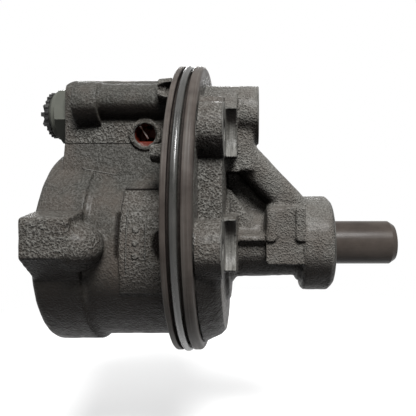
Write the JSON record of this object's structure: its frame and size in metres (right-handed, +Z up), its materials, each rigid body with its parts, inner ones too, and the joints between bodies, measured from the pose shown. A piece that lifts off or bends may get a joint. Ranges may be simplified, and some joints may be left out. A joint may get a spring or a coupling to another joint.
{
  "type": "hydraulic vane pump",
  "caption": "Engine-driven hydraulic vane pump: cast housing with round sealed flange, bare drive shaft, front bosses, side flow valve housing and plugged outlet union.",
  "frame": {"origin": "on the drive shaft's axis, in the plane of the machined front mounting faces", "axes": "+X along the shaft towards its bare end, +Z up with the flow valve housing on top"},
  "size_m": [0.1526, 0.1228, 0.1228],
  "materials": {
    "cast_iron": "sand cast, oiled",
    "seal_rubber": "satin",
    "ground_steel": "ground",
    "bearing_bronze": "turned",
    "machined_steel": "ground",
    "spring_steel": "drawn",
    "plate_steel": "stamped",
    "union_steel": "phosphated",
    "black_plastic": "moulded"
  },
  "bodies": {
    "pump_body": {"housing": "cast_iron", "flange_seal": "seal_rubber", "end_plate_seal": "seal_rubber", "pressure_plate_seal": "seal_rubber", "shaft_bushing": "bearing_bronze", "shaft_seal": "seal_rubber", "thrust_plate": "machined_steel", "cam_ring": "machined_steel", "pressure_plate": "machined_steel", "dowel_pins": "ground_steel", "pressure_plate_spring": "spring_steel", "end_plate": "plate_steel", "end_plate_retaining_ring": "spring_steel", "outlet_union": "union_steel", "union_seal": "seal_rubber", "flow_control_spring": "spring_steel"},
    "shaft": {"drive_shaft": "ground_steel", "rotor": "machined_steel", "rotor_retaining_ring": "spring_steel"},
    "valve": {"flow_control_spool": "ground_steel", "relief_plug": "machined_steel", "relief_spring": "spring_steel"},
    "relief": {"relief_ball": "ground_steel", "relief_guide": "machined_steel"},
    "plug": {"outlet_plug": "black_plastic"},
    "vane_01": {"vane_01": "machined_steel"},
    "vane_02": {"vane_02": "machined_steel"},
    "vane_03": {"vane_03": "machined_steel"},
    "vane_04": {"vane_04": "machined_steel"},
    "vane_05": {"vane_05": "machined_steel"},
    "vane_06": {"vane_06": "machined_steel"},
    "vane_07": {"vane_07": "machined_steel"},
    "vane_08": {"vane_08": "machined_steel"},
    "vane_09": {"vane_09": "machined_steel"},
    "vane_10": {"vane_10": "machined_steel"}
  },
  "joints": [
    {"name": "shaft_spin", "type": "hinge", "parent": "pump_body", "child": "shaft", "pos_m": [0, 0, 0], "axis": [1, 0, 0], "continuous": true},
    {"name": "vane_01_slide", "type": "slide", "parent": "shaft", "child": "vane_01", "axis": [0, 1, 0], "range_m": [-0.0012, 0.0002]},
    {"name": "vane_02_slide", "type": "slide", "parent": "shaft", "child": "vane_02", "axis": [0, 0.809, 0.5878], "range_m": [-0.0012, 0.0002]},
    {"name": "vane_03_slide", "type": "slide", "parent": "shaft", "child": "vane_03", "axis": [0, 0.309, 0.9511], "range_m": [-0.0012, 0.0002]},
    {"name": "vane_04_slide", "type": "slide", "parent": "shaft", "child": "vane_04", "axis": [0, -0.309, 0.9511], "range_m": [-0.0012, 0.0002]},
    {"name": "vane_05_slide", "type": "slide", "parent": "shaft", "child": "vane_05", "axis": [0, -0.809, 0.5878], "range_m": [-0.0012, 0.0002]},
    {"name": "vane_06_slide", "type": "slide", "parent": "shaft", "child": "vane_06", "axis": [0, -1, 0], "range_m": [-0.0012, 0.0002]},
    {"name": "vane_07_slide", "type": "slide", "parent": "shaft", "child": "vane_07", "axis": [0, -0.809, -0.5878], "range_m": [-0.0012, 0.0002]},
    {"name": "vane_08_slide", "type": "slide", "parent": "shaft", "child": "vane_08", "axis": [0, -0.309, -0.9511], "range_m": [-0.0012, 0.0002]},
    {"name": "vane_09_slide", "type": "slide", "parent": "shaft", "child": "vane_09", "axis": [0, 0.309, -0.9511], "range_m": [-0.0012, 0.0002]},
    {"name": "vane_10_slide", "type": "slide", "parent": "shaft", "child": "vane_10", "axis": [0, 0.809, -0.5878], "range_m": [-0.0012, 0.0002]},
    {"name": "valve_slide", "type": "slide", "parent": "pump_body", "child": "valve", "axis": [1, 0, 0], "range_m": [0, 0.008], "stiffness_N_per_m": 2000, "springref_m": -0.004, "deforming": ["flow_control_spring"]},
    {"name": "relief_slide", "type": "slide", "parent": "valve", "child": "relief", "axis": [1, 0, 0], "range_m": [0, 0.001], "stiffness_N_per_m": 200, "springref_m": -0.001, "deforming": ["relief_spring"]},
    {"name": "plug_slide", "type": "slide", "parent": "pump_body", "child": "plug", "axis": [-1, 0, 0], "range_m": [0, 0.012]}
  ]
}
